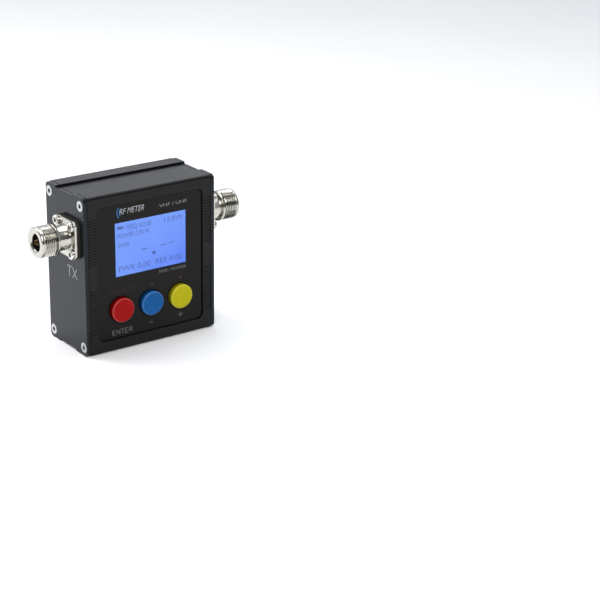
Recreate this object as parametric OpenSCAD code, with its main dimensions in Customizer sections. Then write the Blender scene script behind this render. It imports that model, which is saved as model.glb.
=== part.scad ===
// Pocket SWR and power meter for VHF and UHF radio.
// A split aluminium case with two end plates carries an N-type socket at each end.
// X runs from the transmitter socket (left) to the antenna socket (right), the front faces -Y.

/* [Case] */
// Length of the case with both end plates, along X
case_w = 76; // [76:0.5:80]
// Depth of the case, along Y
case_d = 37.6; // [37:0.2:40]
// Height of the case, along Z
case_h = 83; // [82.5:0.5:86]
// Radius of the four long edges of the two shells
edge_r = 1.5; // [1:0.1:2.4]
// Radius of the corners of the end plates
plate_r = 2.4; // [1.5:0.1:2.8]
// Thickness of each end plate
end_plate_t = 2.1; // [2:0.1:2.8]
// Thickness of the top, bottom and back walls
wall_t = 2.6; // [2.2:0.1:2.8]
// Thickness of the front wall
front_wall_t = 3.2; // [2.8:0.1:3.3]
// Depth of the shallow dip along the top and the bottom
dip_depth = 1; // [0.4:0.1:1.2]

/* [Front panel] */
// Width of the panel recess
panel_w = 62; // [58:0.2:62.4]
// Height of the panel recess
panel_h = 70.8; // [69:0.2:71]
// Height of the recess's lower edge above the base
panel_z = 6.3; // [6:0.1:7]
// Radius of the recess's corners
panel_r = 3.5; // [2:0.1:4.5]
// Depth of the panel recess
panel_recess = 1.4; // [0.8:0.1:1.4]
// Thickness of the printed overlay sheet
overlay_t = 0.4; // [0.3:0.1:0.7]
// Width of the clear display window
window_w = 41.3; // [36:0.1:42]
// Height of the clear display window
window_h = 28.1; // [24:0.1:29]

/* [Grip grooves] */
// Number of grooves in each of the four groups
groove_count = 17; // [8:1:17]
// Distance from one groove to the next
groove_pitch = 1.44; // [1.2:0.02:1.5]
// Width of a groove
groove_w = 0.72; // [0.4:0.02:0.9]
// Depth of a groove
groove_depth = 0.45; // [0.2:0.05:0.8]

/* [Buttons] */
// Diameter of a button cap
button_d = 13; // [11.5:0.1:13.8]
// Distance from one button to the next
button_pitch = 17.35; // [16.4:0.05:17.8]
// Height that a button stands above the case's front face
button_proud = 1.6; // [1.2:0.1:2.2]
// Travel of a button
button_travel = 0.35; // [0.2:0.05:0.35]

/* [Sockets] */
// Outer diameter of the 5/8-24 UNEF socket thread
thread_d = 15.875; // [15.7:0.005:15.9]
// Side of the square flange
flange_side = 19.4; // [19.2:0.1:20.4]
// Thickness of the flange
flange_t = 1.2; // [1:0.1:1.8]
// Length of a socket in front of its seat
socket_reach = 17.9; // [17.4:0.1:19]
// Thickness of the black spacer between a flange and its end plate
spacer_t = 1.8; // [1:0.1:2.6]
// Height of the socket axis above the base
socket_z = 60.8; // [58:0.1:62]

/* [Hidden] */
$fn = 64;

// Colours
anodised_black = [0.10, 0.10, 0.11];
gloss_black = [0.03, 0.03, 0.03];
nickel = [0.80, 0.79, 0.76];
steel = [0.70, 0.71, 0.72];
brass_colour = [0.80, 0.65, 0.30];
board_green = [0.05, 0.30, 0.15];
part_black = [0.08, 0.08, 0.08];
white_plastic = [0.90, 0.90, 0.88];

// The origin is at the bottom centre of the whole part, buttons included
case_y = button_proud / 2;

// Case: y and z below are measured from the middle of the case's base
front_y = -case_d / 2;
back_y = case_d / 2;
shell_w = case_w - 2 * end_plate_t;
dip_front = -7.5;
parting_y = 8.4;
parting_gap = 0.35;
dip_back = parting_y + 0.3;
seam_gap = 0.25;
seam_depth = 0.9;
tongue_t = 1.4;
tongue_reach = 3;
inner_front_y = front_y + front_wall_t;
inner_back_y = back_y - wall_t;
bite = 0.2;

// Screws that hold the end plates
corner_y = case_d / 2 - 3.5;
corner_z = 4.4;
boss_r = 3.2;
pilot_r = 1.3;
countersunk_r = 2.7;
countersunk_h = 1.5;
plate_screw_shank_r = 1.25;
plate_screw_l = 10;
hex_key = 2.2;
hex_key_depth = 1.2;

// Grip grooves
groove_inner_x = panel_w / 2 + 0.4;
groove_outer_x = shell_w / 2 + bite;
groove_group_z = [11.4, 48.5];

// Display
window_x = 0.65;
window_z = 53;
glass_w = window_w + 4.7;
glass_h = window_h + 4.9;
glass_t = 1.8;
glass_y = front_y + panel_recess + 0.2;
backlight_t = 3;
frame_wall = 1.3;
pin_count = 18;
pin_pitch = 2;

// Buttons, tact switches and the main board behind them
button_z = 21.5;
button_x = [-button_pitch, 0, button_pitch];
button_hole_r = button_d / 2 + 0.35;
cap_l = 6.8;
cap_edge_r = 1.2;
cap_wall = 1.3;
cap_top_t = 2;
board_front_y = front_y - button_proud + 12;
board_t = 1.6;
board_back_y = board_front_y + board_t;
board_w = 62.4;
board_z = 7.4;
board_h = 68.4;
tact_side = 12;
tact_h = 4.3;
tact_y = board_front_y - tact_h;
plunger_r = 3.4;
plunger_gap = 0.3;
plunger_in = 1.4;
plunger_out = 1.9;
plunger_tip = 3.8;
tip_l = 2.9;
tip_socket = plunger_tip + 0.1;
post_r = 3.3;
standoff_x = 28.2;
standoff_z = [11.5, 72.2];
standoff_flats = 4.6;
board_screw_r = 1.2;
board_screw_head_r = 2.2;
board_screw_head_h = 1.6;

// Power switch and charging inlet in the right end plate
knob_side = 2;
knob_travel = 2;
knob_gap = 0.3;
knob_proud = 1.5;
switch_z = 33;
switch_body = [5.1, 3.6, 8.6];
switch_axis_y = board_back_y + 1.8;
switch_face_x = shell_w / 2 - 0.3;
usb_z = 19;
usb_l = 9;
usb_h = 7.7;
usb_d = 3.9;
usb_skin = 0.35;
usb_mouth_x = case_w / 2 - 0.6;

// Sockets: u is the distance outwards from the flange's seat
socket_y = -5.4;
screw_offset = 7.1;
flange_corner_r = 2.2;
neck_r = 6.4;
barrel_u = 7.7;
thread_r = thread_d / 2;
mouth_chamfer = 0.8;
lip_chamfer = 0.8;
back_chamfer = 0.5;
mouth_r = 4.27;
mouth_depth = 9;
socket_rear = 6.4;
rear_r = 5.9;
rear_hole_r = rear_r + 0.2;
insulator_r = 3.2;
insulator_step = 1.5;
contact_r = 1.1;
contact_tip_r = 1.52;
contact_bore_r = 0.8;
contact_recess = 4.8;
contact_tail = 5.6;
flange_hole_r = 1.6;
flange_screw_r = 1.4;
flange_screw_head_r = 2.5;
flange_screw_head_h = 1.7;
flange_screw_l = 5;
flange_key = 2.5;

// Coupler between the sockets
coupler_t = 1.6;
coupler_y = socket_y + contact_r;
coupler_x = [-32.5, 32.5];
coupler_z = [50, 69];
shield_size = [34, 4, 15];
shield_skin = 0.4;

// Battery
cell = [50, 9, 34];
cell_z = 9;
cell_corner_r = 2.5;
pad_t = 0.6;
lead_r = 0.6;
battery_socket_x = -22;

module place() {
    translate([0, case_y, 0]) children();
}

// Carries a drawing in (Y, Z) along X, from x0 to x1
module extrude_x(x0, x1) {
    translate([x0, 0, 0]) rotate([90, 0, 90]) linear_extrude(x1 - x0) children();
}

// Carries a drawing in (X, Z) along Y, from y0 to y1
module extrude_y(y0, y1) {
    translate([0, y1, 0]) rotate([90, 0, 0]) linear_extrude(y1 - y0) children();
}

// Points a part that is drawn along +Z towards the front, with its foot at y
module facing_front(x, y, z) {
    translate([x, y, z]) rotate([90, 0, 0]) children();
}

// Points a part that is drawn along +Z towards +X
module facing_right(x, y, z) {
    translate([x, y, z]) rotate([0, 90, 0]) children();
}

module rounded_rect(w, h, r) {
    square([w - 2 * r, h], center = true);
    square([w, h - 2 * r], center = true);
    for (sx = [-1, 1], sy = [-1, 1])
        translate([sx * (w / 2 - r), sy * (h / 2 - r)]) circle(r);
}

module box(x, y, z) {
    translate([x[0], y[0], z[0]]) cube([x[1] - x[0], y[1] - y[0], z[1] - z[0]]);
}

module rod(a, b, r) {
    v = b - a;
    l = norm(v);
    translate(a) rotate([0, acos(v[2] / l), atan2(v[1], v[0])]) cylinder(h = l, r = r, $fn = 24);
}

module at_corners() {
    for (y = [-corner_y, corner_y], z = [corner_z, case_h - corner_z])
        translate([y, z]) children();
}

// ---- Case ----

// The outline of the case with corners of radius r, drawn in by inset all round
module case_outline(r, inset = 0) {
    depth = dip_depth + inset;
    difference() {
        translate([0, case_h / 2])
            rounded_rect(case_d - 2 * inset, case_h - 2 * inset, max(r - inset, 0.3));
        for (z = [0, case_h])
            translate([dip_front - inset, z - depth])
                square([dip_back - dip_front + 2 * inset, 2 * depth]);
    }
}

module case_section() {
    difference() {
        union() {
            difference() {
                case_outline(edge_r);
                translate([inner_front_y, wall_t])
                    square([inner_back_y - inner_front_y, case_h - 2 * wall_t]);
            }
            at_corners() circle(boss_r);
        }
        at_corners() circle(pilot_r, $fn = 32);
    }
}

module front_section() {
    intersection() {
        case_section();
        translate([front_y, 0]) square([parting_y - front_y, case_h]);
    }
}

// The shallow step round each end of a shell that leaves a dark seam beside the end plate
module end_seams() {
    for (side = [-1, 1]) {
        x = side * shell_w / 2;
        extrude_x(x - seam_gap, x + seam_gap) difference() {
            translate([-case_d, -case_h / 2]) square([2 * case_d, 2 * case_h]);
            case_outline(edge_r, seam_depth);
        }
    }
}

module rear_section() {
    intersection() {
        case_section();
        translate([parting_y + parting_gap, 0]) square([back_y - parting_y - parting_gap, case_h]);
    }
    rear_tongue();
    translate([0, case_h]) mirror([0, 1]) rear_tongue();
}

// A lip that reaches under the front half and closes the parting line from inside
module rear_tongue() {
    lip_gap = 0.1;
    translate([parting_y - tongue_reach, wall_t + lip_gap])
        square([2 * tongue_reach, tongue_t]);
    translate([parting_y + parting_gap, wall_t - bite])
        square([tongue_reach - parting_gap, tongue_t]);
}

module grip_grooves() {
    for (side = [-1, 1], z0 = groove_group_z, i = [0 : groove_count - 1])
        translate([side * (groove_inner_x + groove_outer_x) / 2, front_y, z0 + i * groove_pitch])
            cube([groove_outer_x - groove_inner_x, 2 * groove_depth, groove_w], center = true);
}

module panel_outline(inset) {
    translate([0, panel_z + panel_h / 2])
        rounded_rect(panel_w - 2 * inset, panel_h - 2 * inset, panel_r - inset);
}

module window_outline(w, h) {
    translate([window_x, window_z]) rounded_rect(w, h, 0.5);
}

module front_shell() color(anodised_black) place() {
    difference() {
        extrude_x(-shell_w / 2, shell_w / 2) front_section();
        extrude_y(front_y - bite, front_y + panel_recess) panel_outline(0);
        extrude_y(front_y, inner_front_y + bite) window_outline(glass_w + 0.6, glass_h + 0.6);
        for (x = button_x)
            facing_front(x, inner_front_y + bite, button_z)
                cylinder(h = front_wall_t + 2 * bite, r = button_hole_r);
        grip_grooves();
        end_seams();
    }
}

module rear_shell() color(anodised_black) place() difference() {
    extrude_x(-shell_w / 2, shell_w / 2) rear_section();
    end_seams();
}

// The end plate is drawn on the right; the left one is its mirror image
module end_plate() {
    inner_x = shell_w / 2;
    difference() {
        extrude_x(inner_x, case_w / 2) case_outline(plate_r);
        facing_right(inner_x - bite, socket_y, socket_z)
            cylinder(h = end_plate_t + 2 * bite, r = rear_hole_r);
        for (dy = [-1, 1], dz = [-1, 1])
            facing_right(inner_x - bite, socket_y + dy * screw_offset, socket_z + dz * screw_offset)
                cylinder(h = end_plate_t + 2 * bite, r = flange_screw_r + 0.05, $fn = 32);
        for (y = [-corner_y, corner_y], z = [corner_z, case_h - corner_z])
            facing_right(inner_x - bite, y, z) plate_screw_hole();
    }
}

module plate_screw_hole() {
    seat = end_plate_t + bite - countersunk_h;
    cylinder(h = end_plate_t + 2 * bite, r = pilot_r + 0.2, $fn = 32);
    translate([0, 0, seat - 0.05]) cylinder(h = countersunk_h, r1 = pilot_r, r2 = countersunk_r + 0.05);
    translate([0, 0, end_plate_t + bite - 0.05]) cylinder(h = bite + 0.1, r = countersunk_r + 0.05);
}

module left_end_plate() color(anodised_black) place() mirror([1, 0, 0]) end_plate();

module right_end_plate() color(anodised_black) place() {
    slot_y = knob_side / 2 + knob_gap;
    slot_z = knob_side / 2 + knob_travel / 2 + knob_gap;
    usb_gap = 0.3;
    x = [shell_w / 2 - bite, case_w / 2 + bite];
    difference() {
        end_plate();
        box(x, [switch_axis_y - slot_y, switch_axis_y + slot_y], [switch_z - slot_z, switch_z + slot_z]);
        box(x, [board_back_y - usb_gap, board_back_y + usb_d + usb_gap],
            [usb_z - usb_h / 2 - usb_gap, usb_z + usb_h / 2 + usb_gap]);
    }
}

// Countersunk screws with a hexagon socket, flush with the plate
module plate_screws() {
    for (y = [-corner_y, corner_y], z = [corner_z, case_h - corner_z])
        facing_right(case_w / 2 - plate_screw_l, y, z) difference() {
            union() {
                cylinder(h = plate_screw_l - 0.1, r = plate_screw_shank_r, $fn = 32);
                translate([0, 0, plate_screw_l - countersunk_h])
                    cylinder(h = countersunk_h, r1 = plate_screw_shank_r, r2 = countersunk_r);
            }
            translate([0, 0, plate_screw_l - hex_key_depth])
                cylinder(h = hex_key_depth + bite, d = hex_key / cos(30), $fn = 6);
        }
}

module left_plate_screws() color(steel) place() mirror([1, 0, 0]) plate_screws();

module right_plate_screws() color(steel) place() plate_screws();

// ---- Front panel and display ----

module front_overlay() color(gloss_black) place() {
    overlay_gap = 0.1;
    y = front_y + panel_recess;
    difference() {
        extrude_y(y - overlay_t, y) panel_outline(overlay_gap);
        extrude_y(y - overlay_t - bite, y + bite) window_outline(window_w, window_h);
        for (x = button_x)
            facing_front(x, y + bite, button_z)
                cylinder(h = overlay_t + 2 * bite, r = button_hole_r);
    }
}

module display_window() color([0.55, 0.70, 0.90, 0.4]) place() {
    y = front_y + panel_recess;
    extrude_y(y - overlay_t, y) window_outline(window_w, window_h);
}

module lcd_glass() color([0.35, 0.50, 0.95]) place() {
    extrude_y(glass_y, glass_y + glass_t) window_outline(glass_w, glass_h);
}

module lcd_backlight() color(white_plastic) place() {
    y = glass_y + glass_t;
    extrude_y(y, y + backlight_t) window_outline(glass_w, glass_h);
}

module lcd_frame() color(part_black) place() {
    frame_gap = 0.2;
    difference() {
        extrude_y(inner_front_y + frame_gap, board_front_y)
            window_outline(glass_w + 2 * frame_wall, glass_h + 2 * frame_wall);
        extrude_y(inner_front_y, board_front_y + bite) window_outline(glass_w, glass_h);
    }
}

module display_pins() color(brass_colour) place() {
    y = glass_y + glass_t + backlight_t;
    for (i = [0 : pin_count - 1])
        facing_front(window_x + (i - (pin_count - 1) / 2) * pin_pitch, board_front_y,
                     window_z + glass_h / 2 - 2)
            cylinder(h = board_front_y - y, r = 0.3, $fn = 16);
}

// ---- Main board ----

module standoff_holes(r) {
    for (x = [-standoff_x, standoff_x], z = standoff_z)
        facing_front(x, board_back_y + bite, z)
            cylinder(h = board_t + 2 * bite, r = r, $fn = 32);
}

module main_board() color(board_green) place() difference() {
    box([-board_w / 2, board_w / 2], [board_front_y, board_back_y], [board_z, board_z + board_h]);
    standoff_holes(board_screw_r + 0.15);
}

module board_standoffs() color(brass_colour) place() {
    l = board_front_y - inner_front_y;
    for (x = [-standoff_x, standoff_x], z = standoff_z)
        facing_front(x, board_front_y, z) difference() {
            cylinder(h = l, d = standoff_flats / cos(30), $fn = 6);
            translate([0, 0, -bite]) cylinder(h = l / 2 + bite, r = board_screw_r + 0.05, $fn = 32);
        }
}

module board_screws() color(steel) place() {
    shank = board_t + 2.4;
    for (x = [-standoff_x, standoff_x], z = standoff_z)
        facing_front(x, board_back_y, z) {
            cylinder(h = shank, r = board_screw_r, $fn = 32);
            translate([0, 0, -board_screw_head_h]) difference() {
                cylinder(h = board_screw_head_h, r = board_screw_head_r);
                translate([0, 0, -bite]) cross_recess(2.2, 0.9 + bite);
            }
        }
}

module cross_recess(span, depth) {
    for (a = [0, 90])
        rotate([0, 0, a]) translate([-span / 2, -0.3, 0]) cube([span, 0.6, depth]);
}

// A flat chip on the back of the main board, centred at (x, z)
module chip(x, z, w, h, t) {
    box([x - w / 2, x + w / 2], [board_back_y, board_back_y + t], [z - h / 2, z + h / 2]);
}

module processor() color(part_black) place() {
    lead_count = 12;
    lead_pitch = 0.8;
    chip_side = 10;
    chip(-4, 28, chip_side, chip_side, 1.4);
    for (i = [0 : lead_count - 1]) {
        at = (i - (lead_count - 1) / 2) * lead_pitch;
        chip(-4 + at, 28, 0.4, chip_side + 2, 0.3);
        chip(-4, 28 + at, chip_side + 2, 0.4, 0.3);
    }
}

module board_chips() color(part_black) place() {
    chip(12, 40, 5, 4, 1.2);
    chip(20, 40, 5, 4, 1.2);
    chip(14, 20, 4, 6, 1.5);
}

module crystal() color(steel) place() {
    extrude_y(board_back_y, board_back_y + 3.5) translate([10, 31]) rounded_rect(11, 4.6, 2.2);
}

// ---- Buttons ----

module tact_switch_body(i) {
    hole_r = plunger_r + plunger_gap;
    foot = 1;
    floor_y = tact_y + plunger_in + 0.4 + button_travel;
    translate([button_x[i], 0, button_z]) difference() {
        union() {
            box([-tact_side / 2, tact_side / 2], [tact_y + 0.4, board_front_y],
                [-tact_side / 2, tact_side / 2]);
            box([-tact_side / 2 + foot, tact_side / 2 - foot], [tact_y, tact_y + 1],
                [-tact_side / 2 + foot, tact_side / 2 - foot]);
        }
        facing_front(0, floor_y, 0) cylinder(h = floor_y - tact_y + bite, r = hole_r);
    }
}

module plunger(i) {
    facing_front(button_x[i], tact_y + plunger_in, button_z) {
        cylinder(h = plunger_in + plunger_out, r = plunger_r);
        translate([0, 0, plunger_in + plunger_out + tip_l / 2 - bite / 2])
            cube([plunger_tip, plunger_tip, tip_l + bite], center = true);
    }
}

// A round cap with a softened rim, pressed on the plunger's square tip
module button_cap(i) {
    r = button_d / 2;
    foot_y = front_y - button_proud + cap_l;
    socket_end = foot_y - (tact_y - plunger_out - tip_l);
    facing_front(button_x[i], foot_y, button_z) difference() {
        rotate_extrude() {
            square([r - cap_edge_r, cap_l]);
            square([r, cap_l - cap_edge_r]);
            translate([r - cap_edge_r, cap_l - cap_edge_r]) circle(cap_edge_r, $fn = 48);
        }
        translate([0, 0, -bite]) difference() {
            cylinder(h = cap_l - cap_top_t + bite, r = r - cap_wall);
            translate([0, 0, cap_wall]) cylinder(h = cap_l, r = post_r);
        }
        translate([0, 0, socket_end / 2 - bite])
            cube([tip_socket, tip_socket, socket_end + 2 * bite], center = true);
    }
}

module enter_switch_body() color(part_black) place() tact_switch_body(0);
module minus_switch_body() color(part_black) place() tact_switch_body(1);
module plus_switch_body() color(part_black) place() tact_switch_body(2);

module enter_plunger() color(white_plastic) place() plunger(0);
module minus_plunger() color(white_plastic) place() plunger(1);
module plus_plunger() color(white_plastic) place() plunger(2);

module enter_button() color([0.75, 0.07, 0.08]) place() button_cap(0);
module minus_button() color([0.08, 0.35, 0.65]) place() button_cap(1);
module plus_button() color([0.80, 0.76, 0.10]) place() button_cap(2);

// ---- Power switch and charging inlet ----

module power_switch_body() color(steel) place() {
    y = board_back_y;
    half = [knob_side / 2 + knob_gap, knob_side / 2 + knob_travel / 2 + knob_gap];
    pocket = 2.4;
    x = [switch_face_x - switch_body[0], switch_face_x];
    difference() {
        box(x, [y, y + switch_body[1]], [switch_z - switch_body[2] / 2, switch_z + switch_body[2] / 2]);
        box([x[1] - pocket, x[1] + bite], [switch_axis_y - half[0], switch_axis_y + half[0]],
            [switch_z - half[1], switch_z + half[1]]);
    }
}

// Drawn switched on, at the upper end of its slot
module power_switch_knob() color(part_black) place() {
    z = switch_z + knob_travel / 2;
    ridge = 0.3;
    difference() {
        box([switch_face_x - 2, case_w / 2 + knob_proud],
            [switch_axis_y - knob_side / 2, switch_axis_y + knob_side / 2],
            [z - knob_side / 2, z + knob_side / 2]);
        for (dz = [-0.5, 0, 0.5])
            translate([case_w / 2 + knob_proud, switch_axis_y, z + dz])
                cube([2 * ridge, knob_side + bite, 0.22], center = true);
    }
}

module usb_outline(w, h) {
    translate([board_back_y + usb_d / 2, usb_z]) rounded_rect(w, h, 0.6);
}

module usb_shell() color(steel) place() {
    x = [usb_mouth_x - usb_l, usb_mouth_x];
    difference() {
        extrude_x(x[0], x[1]) usb_outline(usb_d, usb_h);
        extrude_x(x[0] + 1, x[1] + bite) usb_outline(usb_d - 2 * usb_skin, usb_h - 2 * usb_skin);
    }
}

module usb_tongue() color(part_black) place() {
    y = board_back_y + usb_d / 2;
    box([usb_mouth_x - usb_l + 1, usb_mouth_x - 1.2], [y - 0.5, y + 0.5], [usb_z - 2.2, usb_z + 2.2]);
}

// ---- Battery ----

module battery_cell() color([0.75, 0.77, 0.80]) place() {
    y = inner_back_y - pad_t;
    extrude_y(y - cell[1], y)
        translate([0, cell_z + cell[2] / 2]) rounded_rect(cell[0], cell[2], cell_corner_r);
}

module battery_pad() color(part_black) place() {
    margin = 5;
    box([-cell[0] / 2 + margin, cell[0] / 2 - margin], [inner_back_y - pad_t, inner_back_y],
        [cell_z + margin, cell_z + cell[2] - margin]);
}

module battery_socket() color(white_plastic) place() chip(battery_socket_x, 40, 7, 5, 4.5);

module battery_leads() {
    y0 = inner_back_y - pad_t - cell[1] / 2;
    y1 = board_back_y + 2.2;
    for (side = [-1, 1]) {
        x = battery_socket_x + side * 1.2;
        points = [[x, y0, cell_z + cell[2]], [x, y0, 46.5], [x, y1, 46.5], [x, y1, 42.5]];
        color(side < 0 ? "black" : "red") place() {
            for (i = [0 : 2]) rod(points[i], points[i + 1], lead_r);
            for (i = [1, 2]) translate(points[i]) sphere(lead_r, $fn = 24);
        }
    }
}

// ---- Directional coupler between the sockets ----

module coupler_board() color(board_green) place() {
    box(coupler_x, [coupler_y, coupler_y + coupler_t], coupler_z);
}

module coupler_shield() color(steel) place() {
    y = coupler_y + coupler_t;
    inner = shield_size - [2 * shield_skin, shield_skin, 2 * shield_skin];
    translate([-shield_size[0] / 2, y, coupler_z[0] + 2]) difference() {
        cube(shield_size);
        translate([shield_skin, -bite, shield_skin]) cube(inner + [0, bite, 0]);
    }
}

module coupler_header() color(part_black) place() {
    box([-6, 6], [board_back_y, coupler_y], [coupler_z[1] - 4, coupler_z[1] - 1.5]);
}

// ---- Sockets ----

// Puts a socket part, drawn along +Z from its seat, on one end of the case
module socket_end(side) {
    mirror([side > 0 ? 0 : 1, 0, 0])
        translate([case_w / 2 + spacer_t, socket_y, socket_z]) rotate([0, 90, 0]) children();
}

module flange_blank(t) {
    linear_extrude(t) rounded_rect(flange_side, flange_side, flange_corner_r);
}

module flange_holes(t) {
    for (a = [-1, 1], b = [-1, 1])
        translate([a * screw_offset, b * screw_offset, -bite])
            cylinder(h = t + 2 * bite, r = flange_hole_r, $fn = 32);
}

// Flange, neck, threaded barrel and mouth, turned from one piece
module socket_body() {
    floor_u = socket_reach - mouth_depth;
    step_u = floor_u - insulator_step;
    difference() {
        union() {
            flange_blank(flange_t);
            translate([0, 0, -socket_rear]) cylinder(h = socket_rear + bite, r = rear_r);
            cylinder(h = barrel_u + bite, r = neck_r);
            translate([0, 0, barrel_u])
                cylinder(h = back_chamfer, r1 = thread_r - back_chamfer, r2 = thread_r);
            translate([0, 0, barrel_u + back_chamfer])
                cylinder(h = socket_reach - lip_chamfer - barrel_u - back_chamfer, r = thread_r);
            translate([0, 0, socket_reach - lip_chamfer])
                cylinder(h = lip_chamfer, r1 = thread_r, r2 = thread_r - lip_chamfer);
        }
        flange_holes(flange_t);
        translate([0, 0, -socket_rear - bite])
            cylinder(h = socket_rear + step_u + 2 * bite, r = insulator_r);
        translate([0, 0, step_u]) cylinder(h = socket_reach, r = mouth_r);
        translate([0, 0, socket_reach - mouth_chamfer])
            cylinder(h = mouth_chamfer, r1 = mouth_r, r2 = mouth_r + mouth_chamfer);
    }
}

module socket_insulator() {
    floor_u = socket_reach - mouth_depth;
    step_u = floor_u - insulator_step;
    difference() {
        union() {
            translate([0, 0, -socket_rear]) cylinder(h = socket_rear + step_u, r = insulator_r);
            translate([0, 0, step_u]) cylinder(h = insulator_step, r = mouth_r);
        }
        translate([0, 0, -socket_rear - bite]) cylinder(h = 2 * socket_reach, r = contact_r);
    }
}

// Centre contact: a solder tail, a stem, and a spring tube that takes the plug's pin
module socket_contact() {
    floor_u = socket_reach - mouth_depth;
    tip_u = socket_reach - contact_recess;
    tail_u = socket_rear + contact_tail;
    difference() {
        union() {
            translate([0, 0, -tail_u]) cylinder(h = tail_u + floor_u + bite, r = contact_r);
            translate([0, 0, floor_u]) cylinder(h = tip_u - floor_u, r = contact_tip_r);
        }
        translate([0, 0, floor_u]) cylinder(h = socket_reach, r = contact_bore_r, $fn = 32);
    }
}

module flange_screws() {
    grip = flange_t + spacer_t + flange_screw_l;
    for (a = [-1, 1], b = [-1, 1])
        translate([a * screw_offset, b * screw_offset, flange_t]) difference() {
            union() {
                translate([0, 0, -grip]) cylinder(h = grip + bite, r = flange_screw_r, $fn = 32);
                cylinder(h = flange_screw_head_h - 0.4, r = flange_screw_head_r);
                translate([0, 0, flange_screw_head_h - 0.4])
                    cylinder(h = 0.4, r1 = flange_screw_head_r, r2 = flange_screw_head_r - 0.4);
            }
            translate([0, 0, flange_screw_head_h - 1.2])
                cylinder(h = 1.2 + bite, d = flange_key / cos(30), $fn = 6);
        }
}

module tx_socket_body() color(nickel) place() socket_end(-1) socket_body();
module tx_insulator() color(white_plastic) place() socket_end(-1) socket_insulator();
module tx_contact() color(brass_colour) place() socket_end(-1) socket_contact();
module tx_flange_screws() color(nickel) place() socket_end(-1) flange_screws();

module ant_socket_body() color(nickel) place() socket_end(1) socket_body();
module ant_insulator() color(white_plastic) place() socket_end(1) socket_insulator();
module ant_contact() color(brass_colour) place() socket_end(1) socket_contact();
module ant_flange_screws() color(nickel) place() socket_end(1) flange_screws();

module socket_spacer() translate([0, 0, -spacer_t]) difference() {
    flange_blank(spacer_t);
    flange_holes(spacer_t);
    translate([0, 0, -bite]) cylinder(h = spacer_t + 2 * bite, r = rear_hole_r);
}

module tx_spacer() color(anodised_black) place() socket_end(-1) socket_spacer();
module ant_spacer() color(anodised_black) place() socket_end(1) socket_spacer();

front_shell();
rear_shell();
left_end_plate();
right_end_plate();
left_plate_screws();
right_plate_screws();
front_overlay();
display_window();
lcd_glass();
lcd_backlight();
lcd_frame();
display_pins();
main_board();
board_standoffs();
board_screws();
processor();
board_chips();
crystal();
enter_switch_body();
minus_switch_body();
plus_switch_body();
enter_plunger();
minus_plunger();
plus_plunger();
enter_button();
minus_button();
plus_button();
power_switch_body();
power_switch_knob();
usb_shell();
usb_tongue();
battery_cell();
battery_pad();
battery_socket();
battery_leads();
coupler_board();
coupler_shield();
coupler_header();
tx_socket_body();
tx_insulator();
tx_contact();
tx_flange_screws();
ant_socket_body();
ant_insulator();
ant_contact();
ant_flange_screws();
tx_spacer();
ant_spacer();
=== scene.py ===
import math
import bmesh
import bpy
from mathutils import Matrix, Vector


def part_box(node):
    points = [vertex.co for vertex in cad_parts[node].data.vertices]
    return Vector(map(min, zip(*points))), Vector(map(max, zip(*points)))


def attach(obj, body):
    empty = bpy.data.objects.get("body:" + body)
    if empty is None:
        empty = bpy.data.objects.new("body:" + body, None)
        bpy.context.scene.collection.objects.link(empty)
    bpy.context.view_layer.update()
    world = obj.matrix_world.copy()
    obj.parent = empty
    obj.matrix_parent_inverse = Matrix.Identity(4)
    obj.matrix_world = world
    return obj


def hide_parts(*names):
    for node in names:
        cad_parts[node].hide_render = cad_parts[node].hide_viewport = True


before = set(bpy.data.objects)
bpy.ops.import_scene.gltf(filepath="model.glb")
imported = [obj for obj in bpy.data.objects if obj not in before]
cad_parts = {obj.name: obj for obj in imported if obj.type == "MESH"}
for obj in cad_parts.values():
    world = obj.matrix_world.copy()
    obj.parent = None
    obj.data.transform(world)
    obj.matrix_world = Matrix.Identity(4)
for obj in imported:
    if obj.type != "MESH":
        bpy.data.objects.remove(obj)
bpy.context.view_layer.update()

# Sizes written in this file are in millimetres unless a comment says otherwise, and MM turns
# them into metres, which everything that comes from the frame is in already
MM = 0.001
UP = Vector((0, 0, 1))
SCENE = bpy.context.scene

# ---- Places, all from the frame ----


def middle(node):
    low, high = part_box(node)
    return (low + high) / 2


LEFT_FACE_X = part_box("left_end_plate")[0].x
RIGHT_FACE_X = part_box("right_end_plate")[1].x
FRONT_FACE_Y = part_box("front_shell")[0].y
BACK_FACE_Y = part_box("rear_shell")[1].y
PANEL_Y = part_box("front_overlay")[0].y
CASE_X = (LEFT_FACE_X + RIGHT_FACE_X) / 2
CASE_Y = (FRONT_FACE_Y + BACK_FACE_Y) / 2
CASE_FOOT = Vector((CASE_X, CASE_Y, 0))
SOCKET_AXIS = middle("tx_contact")


def axes_matrix(origin, x, y, z):
    """Carries the origin to a place, and the X, Y and Z axes to three directions."""
    matrix = Matrix((x, y, z)).transposed().to_4x4()
    matrix.translation = origin
    return matrix


def face_matrix(origin, right, up):
    """Carries a flat drawing in X and Y onto a face, with the drawing's Z pointing out of it."""
    right, up = Vector(right), Vector(up)
    return axes_matrix(origin, right, up, right.cross(up))


PANEL = face_matrix(Vector((CASE_X, PANEL_Y, 0)), (1, 0, 0), UP)
LEFT_PLATE = face_matrix(Vector((LEFT_FACE_X, CASE_Y, 0)), (0, -1, 0), UP)
RIGHT_PLATE = face_matrix(Vector((RIGHT_FACE_X, CASE_Y, 0)), (0, 1, 0), UP)

# ---- Materials ----

# Where a Mix node keeps its factor and colours
MIX_COLOUR_INPUTS, MIX_COLOUR_OUTPUT = (0, 6, 7), 2


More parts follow.
